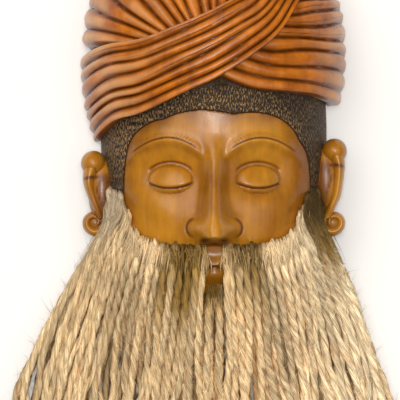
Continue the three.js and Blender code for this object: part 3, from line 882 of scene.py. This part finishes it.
def bundle_object(name, places, shapes, twine, chance, layer_shade=1.0):
    """One mesh of many strands. Each shape holds a strand's path, run, rings, groove and yarn values."""
    parts = []
    start = 0
    # Painted shade: the layer's brightness darkens the lower layers of strands and lifts the top one a little
    shaded_tone = layer_shade ** PAINTED_SHADE_POWERS
    for place, (_, run, rings, dark, fibre) in zip(places, shapes):
        tone = strand_tint(place, run, chance.uniform(0.8, 1.26), twine, chance) * shaded_tone
        tint = np.repeat(np.insert(tone, 3, 1, axis=1), rings.shape[1], 0)
        around, caps = loft_faces(*rings.shape[:2], start)
        parts.append((in_frame(rings), around, caps, dark.ravel(), fibre.reshape(-1, 3), tint))
        start += rings.shape[0] * rings.shape[1]
    points, around, caps, groove, yarn, tint = (np.concatenate(part) for part in zip(*parts))
    values = {"groove": groove, "yarn": yarn, "tint": tint}
    obj = mesh_object(name, points, outward(points, [around, caps]), values)
    obj.data.materials.append(jute(twine))
    return obj


def strand_shape(route, twine, chance, fine=True, thick=1.0):
    """A twisted strand along the route. A strand of another thickness also has its own pitch."""
    radius = twine.diameter / MM / 2 * thick
    pitch = twine.pitch / MM * (chance.uniform(0.88, 1.14) if thick != 1.0 else 1.0)
    sides = FINE_SIDES if fine else COARSE_SIDES
    return twisted(route, radius, pitch, chance.uniform(0, 6.28), sides, chance)


FLOOR_CLEARANCE = 0.0001


def fibres_object(name, roots, directions, tints, lengths, twine, chance):
    """Stray fibres: thin three-sided tapers of three rings that leave the twine and bend over."""
    count = len(roots)
    turn = unit(chance.normal(0, 1, (count, 3)))
    s = np.linspace(0, 1, 3)[None, :, None]
    line = roots[:, None] + lengths[:, None, None] * (s * directions[:, None] + 0.55 * s ** 2 * turn[:, None])
    ahead = unit(np.gradient(line, axis=1))
    side = unit(np.cross(ahead, [0.31, 0.22, 0.92]))
    rings = ringed(line, side, np.cross(side, ahead), full_turn(3), 0.11 * np.array([[1], [0.85], [0.3]]))
    base = (np.arange(count) * 9)[:, None, None]
    joined = [(f[None] + base).reshape(-1, f.shape[1]) for f in loft_faces(3, 3)]
    points = in_frame(rings)
    points[:, 2] = np.maximum(points[:, 2], FLOOR_CLEARANCE)
    values = {"tint": np.repeat(tints, 9, 0), "groove": np.zeros(len(points)),
              "yarn": np.repeat(chance.random((count, 3)), 9, 0)}
    obj = mesh_object(name, points, outward(points, joined), values)
    obj.data.materials.append(jute(twine))
    return obj


# ---------------------------------------------------------------- settings

def colour_setting(label, about, value):
    """A red, green and blue, each from 0 to 1."""
    return bpy.props.FloatVectorProperty(
        name=label, description=about, subtype="COLOR", size=3, min=0, max=1, default=value)


def share_setting(label, about, value, highest=1.0):
    """A plain number from 0 up."""
    return bpy.props.FloatProperty(name=label, description=about, default=value, min=0, max=highest)


def length_setting(label, about, value):
    """A length in metres."""
    return bpy.props.FloatProperty(name=label, description=about, default=value, unit="LENGTH")


def count_setting(label, about, value):
    """A whole number of pieces, at least one."""
    return bpy.props.IntProperty(name=label, description=about, default=value, min=1)


class WoodFinish(bpy.types.PropertyGroup):
    face_light: colour_setting("Face light", "Lighter stain of the face", (0.48, 0.20, 0.012))
    face_dark: colour_setting("Face dark", "Darker stain of the face", (0.27, 0.088, 0.004))
    turban_light: colour_setting("Turban light", "Lighter stain of the turban", (0.53, 0.145, 0.003))
    turban_dark: colour_setting("Turban dark", "Darker stain of the turban", (0.29, 0.066, 0.001))
    # Wear on the crests, and painted sheen on the crests at the turban's sides
    worn_and_sheen_colour: colour_setting("Worn", "Crests where the stain has worn thin", (0.62, 0.33, 0.14))
    valley_colour: colour_setting("Valley", "Darker stain between folds", (0.135, 0.036, 0.004))
    recess_colour: colour_setting("Recess", "Stain gathered in the cuts", (0.045, 0.013, 0.002))
    hair_dark: colour_setting("Hair dark", "Blackened hair", (0.012, 0.006, 0.002))
    hair_light: colour_setting("Hair light", "Hair rubbed back to tan", (0.40, 0.225, 0.080))
    roughness: share_setting("Roughness", "Roughness of the lacquer", 0.29)
    fold_depth: share_setting("Fold depth", "Depth of the turban's folds, as a share", 1.0, 2.0)
    hair_depth: length_setting("Hair depth", "Depth of the cuts in the hair", 0.0011)


class TwineSettings(bpy.types.PropertyGroup):
    diameter: length_setting("Diameter", "Thickness of one strand", TWINE * MM)
    pitch: length_setting("Pitch", "Length of one turn of the plies", 0.029)
    fibres: count_setting("Stray fibres", "How many fibres stand off the strands", 13500)
    fringe: count_setting("Root fringe", "How many fine tufts cover the roots", 1100)
    straw_colour: colour_setting("Straw", "Natural jute", (0.77, 0.57, 0.32))
    cream_colour: colour_setting("Cream", "Lighter jute towards the right", (0.81, 0.69, 0.48))
    pale_colour: colour_setting("Pale", "Greyish jute at the left temple", (0.48, 0.38, 0.26))
    dull_colour: colour_setting("Dull", "How much the duller fibres take off each colour", (0.84, 0.70, 0.56))
    shade_colour: colour_setting("Between plies", "Shade where the plies meet", (0.16, 0.09, 0.035))
    stain_gold: colour_setting("Gold stain", "Wood stain that ran on the twine", (0.31, 0.165, 0.012))
    stain_dark: colour_setting("Dark stain", "Hair stain that ran on the twine", (0.055, 0.033, 0.010))


class StudioSettings(bpy.types.PropertyGroup):
    floor_colour: colour_setting("Floor", "Pale floor", (0.775, 0.757, 0.728))
    floor_glow: share_setting("Floor glow", "Light of its own that softens the shadows", 0.16)
    view_width: length_setting("View width", "Width seen at the middle of the mask's depth", 0.26)
    camera_height: length_setting("Camera height", "Height over the floor", 1.5)


# ---------------------------------------------------------------- operators

def finish_piece(obj, slot, *nodes):
    """The piece rides on the one body and stands for the CAD nodes; its slot is not used."""
    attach(obj, "root")
    if nodes:
        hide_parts(*nodes)


SENSOR = 36
FLOOR_HALF = 3
VIEW_MIDDLE = (-0.0025, 0.014)
FOCUS_HEIGHT = 0.045
SKY_LIGHT = 0.1
LIGHTS = [
    # name, place, the point it faces, size, power, colour
    ("key", (-0.6, 0.7, 1.3), (0, 0.03, 0.05), (1.2, 1.2), 14, (1, 0.985, 0.96)),
    ("fill", (0.9, 0.0, 1.3), (0, 0, 0.03), (1.3, 1.3), 5, (1, 1, 1)),
    ("front", (0.02, 0.12, 1.9), (0, 0, 0), (0.3, 0.5), 17, (1, 1, 1)),
    ("veil", (0.1, 0.0, 2.2), (0, 0, 0), (2.0, 2.0), 10, (1, 0.98, 0.95)),
]


def area_light(name, place, target, size, power, tone):
    """A rectangular lamp that faces the target."""
    data = bpy.data.lights.new(name, "AREA")
    data.shape = "RECTANGLE"
    data.size, data.size_y = size
    data.energy = power
    data.color = tone
    lamp = bpy.data.objects.new(name, data)
    bpy.context.scene.collection.objects.link(lamp)
    lamp.location = place
    aim = np.array(target, float) - place
    pitch = math.atan2(math.hypot(aim[0], aim[1]), -aim[2])
    lamp.rotation_euler = (pitch, 0, math.atan2(-aim[0], aim[1]))


class MASK_OT_studio(bpy.types.Operator):
    """Adds the pale floor, the soft lights and the camera, which looks straight down on the mask"""

    bl_idname = "mask.studio"
    bl_label = "Set up studio"

    def execute(self, context):
        studio = context.scene.mask_studio
        corners = FLOOR_HALF * np.array([[-1, -1, 0], [1, -1, 0], [1, 1, 0], [-1, 1, 0]], float)
        floor = mesh_object("floor", corners, [np.array([[0, 1, 2, 3]])])
        floor.data.materials.append(floor_material(studio))
        camera = bpy.data.objects.new("camera", bpy.data.cameras.new("camera"))
        context.scene.collection.objects.link(camera)
        camera.data.sensor_width = SENSOR
        camera.data.lens = SENSOR * (studio.camera_height - FOCUS_HEIGHT) / studio.view_width
        camera.location = (*VIEW_MIDDLE, studio.camera_height)
        context.scene.camera = camera
        for light in LIGHTS:
            area_light(*light)
        world = bpy.data.worlds.new("studio")
        world.use_nodes = True
        background = world.node_tree.nodes["Background"]
        background.inputs["Color"].default_value = (1, 1, 1, 1)
        background.inputs["Strength"].default_value = SKY_LIGHT
        context.scene.world = world
        context.scene.view_settings.view_transform = "Standard"
        return {"FINISHED"}


class MASK_OT_top_strands(bpy.types.Operator):
    """Lays the strands of the beard that have a frame node of their own, each as a mesh of its own"""

    bl_idname = "mask.top_strands"
    bl_label = "Lay top strands"

    def execute(self, context):
        twine = context.scene.mask_twine
        t = np.linspace(0, 1, ROUTE_POINTS)
        for number, (place, drop) in enumerate(TOP_STRANDS, 1):
            chance = np.random.default_rng(100 + number)
            shape = strand_shape(top_route(place, drop, t), twine, chance)
            obj = bundle_object(f"top_strand_{number:02d}", [place], [shape], twine, chance)
            finish_piece(obj, "jute_twine", f"beard_strand_{number:02d}")
        return {"FINISHED"}


# Each wrap's folds, height over the dome, depth of a fold, steps along it, thickness and random seed, and in
# start the share of its height that it begins with
WRAPS = [
    ("side_wrap", side_edges,
     {"folds": 10, "lift": 2.8, "depth": 3.4, "along": 60, "thick": 14, "seed": 1}),
    ("crown_wrap", crown_edges,
     {"folds": 15, "lift": 2.4, "depth": 3.1, "along": 50, "thick": 12, "seed": 2}),
    ("front_band", between(BAND_LOW, BAND_HIGH),
     {"folds": 7, "lift": 8.0, "depth": 2.9, "along": 120, "thick": 16, "seed": 3, "start": 0.3}),
]
CORE_DROP = -6.0
CORE_IN_HAIR = 10
SHARP_EDGE = math.radians(50)
LEAST_FACES = 1000
LEFT_KNOB_Y = 24
RIGHT_KNOB_Y = 32


class MASK_OT_carving(bpy.types.Operator):
    """Carves head, hair, ears and turban as one piece of wood, hollow behind"""

    bl_idname = "mask.carving"
    bl_label = "Carve mask"

    def execute(self, context):
        finish = context.scene.mask_wood
        mask = head_surface()
        wraps = [
            dome_object("turban_core", CORE, CORE_DROP, CORE_IN_HAIR),
            *(wrap_object(name, edges, finish, **shape) for name, edges, shape in WRAPS)]
        ears = ear_objects("left", -1, LEFT_KNOB_Y) + ear_objects("right", 1, RIGHT_KNOB_Y)
        combine(mask, wraps + ears, "UNION")
        floor_cut = mesh_object("floor_cut", *cut_box())
        combine(mask, [dome_object("hollow", HOLLOW, 0.0), floor_cut], "DIFFERENCE")
        mask.name = mask.data.name = "turbaned_head"
        mask.data.materials.clear()
        mask.data.materials.append(wood_material(finish))
        mask.data.polygons.foreach_set("material_index", np.zeros(len(mask.data.polygons), np.int32))
        mask.data.polygons.foreach_set("use_smooth", np.ones(len(mask.data.polygons), bool))
        mask.data.set_sharp_from_angle(angle=SHARP_EDGE)
        if len(mask.data.polygons) < LEAST_FACES:
            raise RuntimeError("the carving lost its surface")
        finish_piece(mask, "carved_wood", "carved_mask")
        return {"FINISHED"}


def cut_box():
    """A block under the back plane."""
    half, deep = 0.4, 0.1
    points = np.array([[i * half, j * half, k * deep] for k in (-1, 0) for j in (-1, 1) for i in (-1, 1)])
    sides = [[0, 2, 3, 1], [4, 5, 7, 6], [0, 1, 5, 4], [2, 6, 7, 3], [0, 4, 6, 2], [1, 3, 7, 5]]
    return points, [np.array(sides)]


PARTING = 0.075  # strands nearer the middle than this grow from under the lower lip
PARTED_START = 0.2
PARTED_TUFTS = 0.7 * PARTING

LAYERS = [
    # height of the layer, share of the plan before the root, strands, full detail, wander, and brightness,
    # which is painted shade on the lower layers and painted light on the top one
    (2.7, 0.13, 62, False, 0.6, 0.5),
    (7.2, 0.09, 38, False, 2.2, 0.8),
    (11.8, 0.045, 36, True, 3.4, 1.08),
]


class MASK_OT_under_strands(bpy.types.Operator):
    """Lays the other strands of the beard, under and between the top ones"""

    bl_idname = "mask.under_strands"
    bl_label = "Lay under strands"

    def execute(self, context):
        twine = context.scene.mask_twine
        t = np.linspace(0, 1, ROUTE_POINTS)
        for number, (level, start, count, fine, wander, layer_shade) in enumerate(LAYERS, 1):
            chance = np.random.default_rng(10 + number)
            even = np.linspace(-0.985, 0.985, count)
            fanned = np.arcsin(even * math.sin(FAN)) / FAN
            places = mix(even, fanned, 0.6) + chance.uniform(-0.008, 0.008, count)
            parted = PARTED_START + chance.uniform(-0.045, 0.03, count)
            starts = np.where(abs(places) > PARTING, start, parted)
            routes = [loose_route(p, chance.uniform(0, 14), t, level, at, wander, chance)
                      for p, at in zip(places, starts)]
            thick = chance.uniform(0.95 if number == 1 else 0.75, 1.12, count)
            shapes = [strand_shape(route, twine, chance, fine, share) for route, share in zip(routes, thick)]
            bundle = bundle_object(f"under_strands_{number}", places, shapes, twine, chance, layer_shade)
            finish_piece(bundle, "jute_twine", "beard_under_strands")
        chance = np.random.default_rng(40)
        declared = np.array([p for p, _ in TOP_STRANDS])
        gaps = [mix(declared[:-1], declared[1:], share) for share in (0.34, 0.67)]
        places = np.concatenate([*gaps, [-0.08, 0.08]])
        starts = np.where(abs(places) > PARTING, chance.uniform(0, 0.02, len(places)), PARTED_START - 0.03)
        levels = top_height(0, 1) + chance.uniform(-1.6, 0.9, len(places))
        routes = [loose_route(p, chance.uniform(0, 12), t, h, at, 2.5, chance)
                  for p, h, at in zip(places, levels, starts)]
        shapes = [strand_shape(route, twine, chance, True, chance.uniform(0.72, 1.1)) for route in routes]
        bundle = bundle_object("between_strands", places, shapes, twine, chance)
        finish_piece(bundle, "jute_twine", "beard_under_strands")
        return {"FINISHED"}


class MASK_OT_root_fringe(bpy.types.Operator):
    """Lays the fine fibres that cover the strands' roots, close together along the root line"""

    bl_idname = "mask.root_fringe"
    bl_label = "Lay root fringe"

    def execute(self, context):
        twine = context.scene.mask_twine
        chance = np.random.default_rng(21)
        places = np.sort(chance.uniform(-1.0, 1.0, twine.fringe))
        beside = np.sign(places) * np.maximum(abs(places), PARTING - 0.01)
        places = np.where(abs(places) < PARTED_TUFTS, places, beside)
        shapes = []
        for place in places:
            temple = smooth(0.7, 0.85, abs(place))
            start = PARTED_START - chance.uniform(0.01, 0.06) if abs(place) < PARTED_TUFTS else 0
            t = np.linspace(0, mix(chance.uniform(0.03, 0.13), chance.uniform(0.1, 0.3), temple), 24)
            x, y = strand_plan(place, start + t, 4)
            x = x + chance.normal(0, 2.2) * smooth(0, 0.08, t)
            cover = chance.uniform(1.2, 3.2) - 4.5 * smooth(t[-1] * 0.5, t[-1], t)
            height = mix(-3.5, top_height(place, t) + cover, smooth(-0.002, 0.016 + 0.3 * start, t))
            route = np.stack([x, y + chance.uniform(0.8, 3.4), rest_height(x, y) + height], -1)
            shapes.append(thin_strand(route, chance.uniform(0.25, 0.6), chance.uniform(0, 6.28)))
        finish_piece(bundle_object("root_fringe", places, shapes, twine, chance), "jute_twine")
        return {"FINISHED"}


def rows(items, field, width):
    """One field of every item, a row each."""
    values = np.zeros(len(items) * width, np.float32)
    items.foreach_get(field, values)
    return values.reshape(-1, width).astype(float)


class MASK_OT_stray_fibres(bpy.types.Operator):
    """Adds the fine fibres that stand off the twine and its cut ends"""

    bl_idname = "mask.stray_fibres"
    bl_label = "Add stray fibres"

    def execute(self, context):
        twine = context.scene.mask_twine
        chance = np.random.default_rng(7)
        strands = sorted((o for o in bpy.data.objects if "strands" in o.name or o.name.startswith("top_")),
                         key=lambda o: o.name)
        meshes = [o.data for o in strands if o.type == "MESH" and "tint" in o.data.attributes]
        points = np.concatenate([rows(m.vertices, "co", 3) for m in meshes])
        normals = np.concatenate([rows(m.vertex_normals, "vector", 3) for m in meshes])
        tints = np.concatenate([rows(m.attributes["tint"].data, "color", 4) for m in meshes])
        picked = chance.choice(np.flatnonzero(normals[:, 2] > 0.1), twine.fibres, replace=False)
        roots = points[picked] / MM + MIDDLE
        count = len(picked)
        along = np.stack([chance.normal(0, 0.4, count), -np.ones(count), chance.normal(0, 0.25, count)], -1)
        away = chance.uniform(0.1, 0.7, count)[:, None] * normals[picked]
        directions = unit(away + along * chance.choice([1, -0.6], count)[:, None])
        lengths = chance.gamma(3.0, 1.5, count).clip(1.5, 11) * mix(1, 0.4, smooth(80, 96, roots[:, 2]))
        shade = chance.uniform(0.45, 1.6, count)[:, None]
        fuzz = fibres_object("stray_fibres", roots - 0.3 * normals[picked], directions, tints[picked] * shade,
                             lengths, twine, chance)
        finish_piece(fuzz, "jute_twine")
        return {"FINISHED"}


class MASK_PT_panel(bpy.types.Panel):
    """Lists the operators that build the mask"""

    bl_idname = "MASK_PT_panel"
    bl_label = "Turbaned Mask"
    bl_space_type = "VIEW_3D"
    bl_region_type = "UI"
    bl_category = "Turbaned Mask"

    def draw(self, context):
        for step in STEPS:
            self.layout.operator(step.bl_idname)
        for group in (context.scene.mask_wood, context.scene.mask_twine, context.scene.mask_studio):
            box = self.layout.box()
            for key in group.__annotations__:
                box.prop(group, key)


STEPS = (MASK_OT_studio, MASK_OT_top_strands, MASK_OT_carving, MASK_OT_under_strands, MASK_OT_root_fringe,
         MASK_OT_stray_fibres)
CLASSES = (WoodFinish, TwineSettings, StudioSettings, *STEPS, MASK_PT_panel)


def register():
    for cls in CLASSES:
        bpy.utils.register_class(cls)
    bpy.types.Scene.mask_wood = bpy.props.PointerProperty(type=WoodFinish)
    bpy.types.Scene.mask_twine = bpy.props.PointerProperty(type=TwineSettings)
    bpy.types.Scene.mask_studio = bpy.props.PointerProperty(type=StudioSettings)


def unregister():
    del bpy.types.Scene.mask_studio
    del bpy.types.Scene.mask_twine
    del bpy.types.Scene.mask_wood
    for cls in reversed(CLASSES):
        bpy.utils.unregister_class(cls)


def main():
    register()
    bpy.ops.mask.studio()
    bpy.ops.mask.top_strands()
    bpy.ops.mask.carving()
    bpy.ops.mask.under_strands()
    bpy.ops.mask.root_fringe()
    bpy.ops.mask.stray_fibres()


if __name__ == "__main__":
    main()
